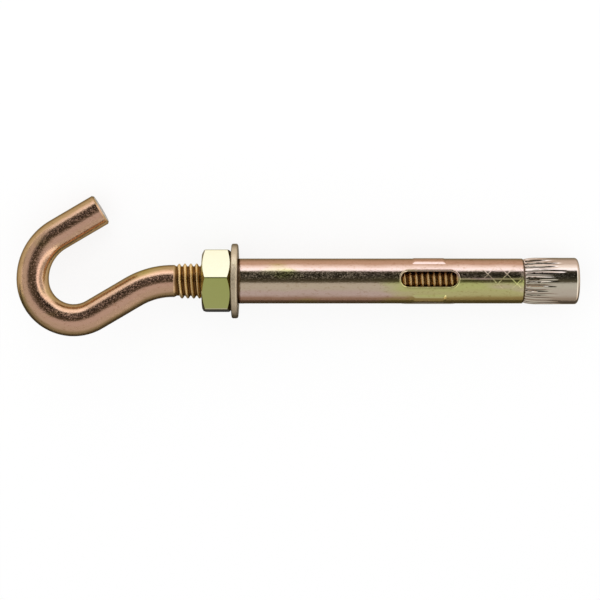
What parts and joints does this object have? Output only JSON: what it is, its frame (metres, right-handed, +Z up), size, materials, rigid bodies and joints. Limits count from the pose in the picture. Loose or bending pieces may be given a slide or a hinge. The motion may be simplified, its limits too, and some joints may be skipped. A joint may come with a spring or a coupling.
{
  "type": "hook anchor bolt",
  "caption": "Expansion anchor with an open hook: a bent threaded rod carries a nut, a washer, a windowed sleeve and a ribbed cone nut that spreads the sleeve in a drilled hole.",
  "frame": {"origin": "on the shank's axis, in the face of the washer that meets the wall", "axes": "+X along the anchor from the hook to the cone nut, +Y towards the hook's tip, +Z up, as the anchor lies on a flat surface"},
  "size_m": [0.1193, 0.0281, 0.016],
  "materials": {
    "hook_bolt": "yellow zinc plating, satin",
    "hex_nut": "yellow zinc plating, bright",
    "washer": "yellow zinc plating, dull",
    "sleeve": "yellow zinc plating, bright",
    "cone_nut": "yellow zinc plating, satin"
  },
  "bodies": {
    "sleeve": {"sleeve": "sleeve", "washer": "washer"},
    "bolt": {"hook_bolt": "hook_bolt", "cone_nut": "cone_nut"},
    "nut": {"hex_nut": "hex_nut"}
  },
  "joints": [
    {"name": "nut_turn", "type": "hinge", "parent": "sleeve", "child": "nut", "pos_m": [0, 0, 0], "axis": [-0.9991, 0, 0.0418], "range_deg": [0, 1260]},
    {"name": "bolt_slide", "type": "slide", "parent": "sleeve", "child": "bolt", "axis": [0.9991, 0, -0.0418], "range_m": [0, 0.00438]}
  ],
  "couplings": [
    {"joint": "nut_turn", "follows": "bolt_slide", "rad_per_m": 5026.5}
  ]
}
